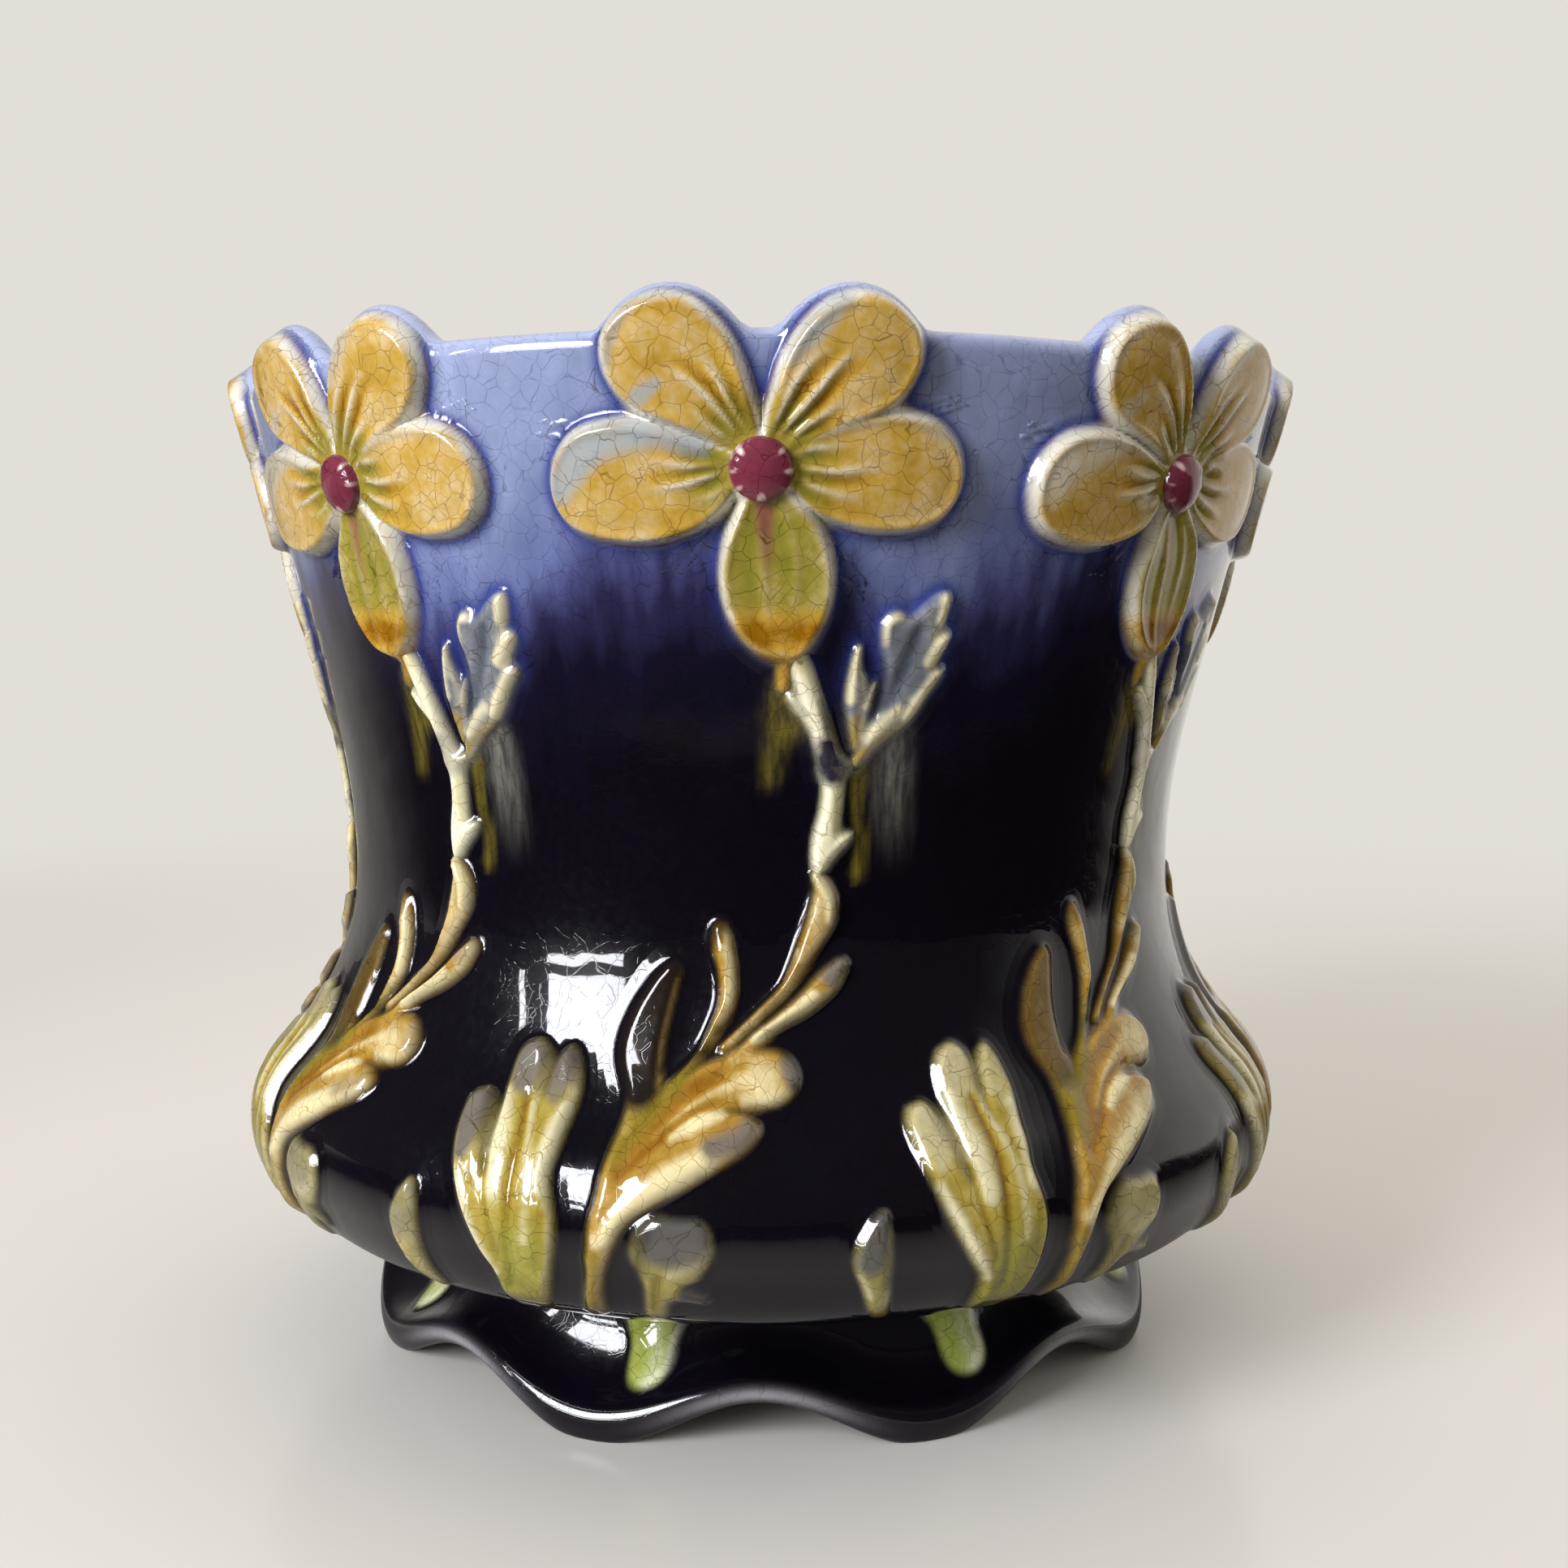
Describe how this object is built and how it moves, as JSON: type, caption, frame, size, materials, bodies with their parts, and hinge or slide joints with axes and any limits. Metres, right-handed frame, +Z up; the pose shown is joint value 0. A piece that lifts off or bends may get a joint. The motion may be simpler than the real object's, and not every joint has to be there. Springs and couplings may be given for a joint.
{
  "type": "majolica cachepot",
  "caption": "Glazed earthenware cachepot with a pinched waist, scalloped rim, frilled foot and sprigged flower and acanthus relief, for holding a potted plant.",
  "frame": {"origin": "centre of the ground plane under the foot", "axes": "+Z up along the pot's axis, -Y towards the first flower"},
  "size_m": [0.2158, 0.2158, 0.2],
  "materials": {
    "pot_glaze": "gloss majolica glaze, periwinkle blue at the rim fading to aubergine black",
    "foot_glaze": "gloss aubergine-black majolica glaze, thin and greyish on the lip",
    "petal_glaze": "gloss amber-yellow majolica glaze, crazed, cream on the raised edges",
    "eye_glaze": "gloss raspberry majolica glaze",
    "stem_glaze": "gloss cream and pale green majolica glaze",
    "leaf_glaze": "gloss yellow-green to amber majolica glaze with grey-mauve tips"
  },
  "bodies": {
    "root": {"acanthus_leaf_1": "leaf_glaze", "acanthus_leaf_2": "leaf_glaze", "acanthus_leaf_3": "leaf_glaze", "acanthus_leaf_4": "leaf_glaze", "acanthus_leaf_5": "leaf_glaze", "acanthus_leaf_6": "leaf_glaze", "acanthus_leaf_7": "leaf_glaze", "acanthus_leaf_8": "leaf_glaze", "bracts": "leaf_glaze", "flower_1": "petal_glaze", "flower_2": "petal_glaze", "flower_3": "petal_glaze", "flower_4": "petal_glaze", "flower_5": "petal_glaze", "flower_6": "petal_glaze", "flower_7": "petal_glaze", "flower_8": "petal_glaze", "flower_eye_1": "eye_glaze", "flower_eye_2": "eye_glaze", "flower_eye_3": "eye_glaze", "flower_eye_4": "eye_glaze", "flower_eye_5": "eye_glaze", "flower_eye_6": "eye_glaze", "flower_eye_7": "eye_glaze", "flower_eye_8": "eye_glaze", "foot_skirt": "foot_glaze", "foot_tongues": "leaf_glaze", "pot_body": "pot_glaze", "side_leaf_1": "leaf_glaze", "side_leaf_2": "leaf_glaze", "side_leaf_3": "leaf_glaze", "side_leaf_4": "leaf_glaze", "side_leaf_5": "leaf_glaze", "side_leaf_6": "leaf_glaze", "side_leaf_7": "leaf_glaze", "side_leaf_8": "leaf_glaze", "small_bracts": "leaf_glaze", "stem_1": "stem_glaze", "stem_2": "stem_glaze", "stem_3": "stem_glaze", "stem_4": "stem_glaze", "stem_5": "stem_glaze", "stem_6": "stem_glaze", "stem_7": "stem_glaze", "stem_8": "stem_glaze", "upper_leaf_1": "leaf_glaze", "upper_leaf_2": "leaf_glaze", "upper_leaf_3": "leaf_glaze", "upper_leaf_4": "leaf_glaze", "upper_leaf_5": "leaf_glaze", "upper_leaf_6": "leaf_glaze", "upper_leaf_7": "leaf_glaze", "upper_leaf_8": "leaf_glaze"}
  },
  "joints": []
}
